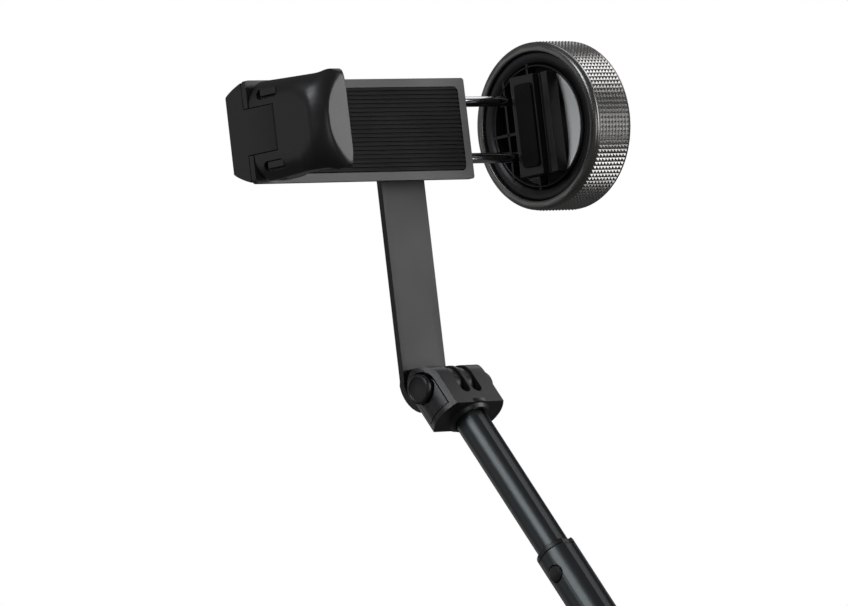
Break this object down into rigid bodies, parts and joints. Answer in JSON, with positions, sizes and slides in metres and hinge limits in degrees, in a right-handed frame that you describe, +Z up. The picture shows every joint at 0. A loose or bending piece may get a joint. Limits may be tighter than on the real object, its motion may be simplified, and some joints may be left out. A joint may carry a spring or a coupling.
{
  "type": "selfie stick",
  "caption": "Telescopic hand-held pole with a tilting arm and a turning phone clamp: folding jaw on one end, sliding round knurled head on the other.",
  "frame": {"origin": "centre of the handle's bottom face, where the hand holds the stick", "axes": "+Z up along the pole, -Y the side the phone faces, +X from the folding jaw to the round head"},
  "size_m": [0.1057, 0.0742, 0.3003],
  "materials": {
    "black_plastic": "satin moulded, very fine grain",
    "jaw_plastic": "satin moulded",
    "dark_metal": "dark satin anodised",
    "grey_metal": "satin grey anodised",
    "knurled_metal": "knurled, dark satin",
    "steel": "polished",
    "rubber": "matt",
    "board": "coated board"
  },
  "bodies": {
    "handle": {"handle_shell": "black_plastic", "guide_liner": "grey_metal", "grip_sleeve": "rubber", "handle_collar": "dark_metal", "end_cap": "black_plastic", "remote_case": "black_plastic", "remote_back": "black_plastic", "remote_board": "board", "coin_cell": "steel", "button_dome": "steel"},
    "shutter": {"shutter_button": "grey_metal"},
    "pole_4": {"tube_4": "dark_metal", "collar_4": "black_plastic", "guide_plug_4": "black_plastic"},
    "pole_3": {"tube_3": "dark_metal", "collar_3": "black_plastic", "guide_plug_3": "black_plastic"},
    "pole_2": {"tube_2": "dark_metal", "collar_2": "black_plastic", "guide_plug_2": "black_plastic"},
    "pole_lock": {"lock_button": "black_plastic"},
    "pole_1": {"tube_1": "dark_metal", "guide_plug_1": "black_plastic", "fork_block": "black_plastic", "side_cover_left": "black_plastic", "side_cover_right": "black_plastic", "hinge_bolt": "steel", "hinge_nut": "steel", "hinge_cap_left": "black_plastic", "hinge_cap_right": "black_plastic"},
    "arm": {"arm_strip": "grey_metal", "arm_knuckle": "black_plastic", "rivet_left": "steel", "rivet_right": "steel", "pivot_washer": "steel", "pivot_bolt": "dark_metal", "pivot_nut": "steel"},
    "clamp": {"clamp_shell": "dark_metal", "front_frame": "grey_metal", "clamp_pad": "rubber", "end_block": "black_plastic", "jaw_pin": "steel", "rod_spring_upper": "steel", "rod_spring_lower": "steel"},
    "jaw": {"left_jaw": "jaw_plastic", "jaw_key_low": "black_plastic", "jaw_key_high": "black_plastic", "left_jaw_liner": "rubber"},
    "slider": {"rod_upper": "steel", "rod_lower": "steel", "rod_bridge": "black_plastic", "jaw_bar": "black_plastic", "jaw_bar_liner": "rubber", "rib_disc": "black_plastic", "bezel_ring": "grey_metal", "knurled_ring": "knurled_metal", "head_shell": "black_plastic", "head_cover": "black_plastic"}
  },
  "joints": [
    {"name": "shutter_press", "type": "slide", "parent": "handle", "child": "shutter", "axis": [0, 1, 0], "range_m": [0, 0.0004], "stiffness_N_per_m": 600, "springref_m": -0.001},
    {"name": "section_4_slide", "type": "slide", "parent": "handle", "child": "pole_4", "axis": [0, 0, 1], "range_m": [-0.007, 0.09]},
    {"name": "section_3_slide", "type": "slide", "parent": "pole_4", "child": "pole_3", "axis": [0, 0, 1], "range_m": [-0.0115, 0.09]},
    {"name": "section_2_slide", "type": "slide", "parent": "pole_3", "child": "pole_2", "axis": [0, 0, 1], "range_m": [-0.024, 0.07]},
    {"name": "pole_lock_press", "type": "slide", "parent": "pole_2", "child": "pole_lock", "axis": [1, 0, 0], "range_m": [0, 0.0003], "stiffness_N_per_m": 400, "springref_m": -0.001},
    {"name": "section_1_slide", "type": "slide", "parent": "pole_2", "child": "pole_1", "axis": [0, 0, 1], "range_m": [-0.04, 0.053]},
    {"name": "arm_tilt", "type": "hinge", "parent": "pole_1", "child": "arm", "pos_m": [0, 0, 0.23], "axis": [1, 0, 0], "range_deg": [-33, 36]},
    {"name": "clamp_turn", "type": "hinge", "parent": "arm", "child": "clamp", "pos_m": [-0.0003, -0.02934, 0.28461], "axis": [0, -0.831, -0.5563], "range_deg": [0, 90]},
    {"name": "jaw_fold", "type": "hinge", "parent": "clamp", "child": "jaw", "pos_m": [-0.0512, -0.03826, 0.27816], "axis": [0, -0.5563, 0.831], "range_deg": [0, 80]},
    {"name": "head_slide", "type": "slide", "parent": "clamp", "child": "slider", "axis": [1, 0, 0], "range_m": [-0.015, 0.019], "deforming": ["rod_spring_upper", "rod_spring_lower"]}
  ]
}
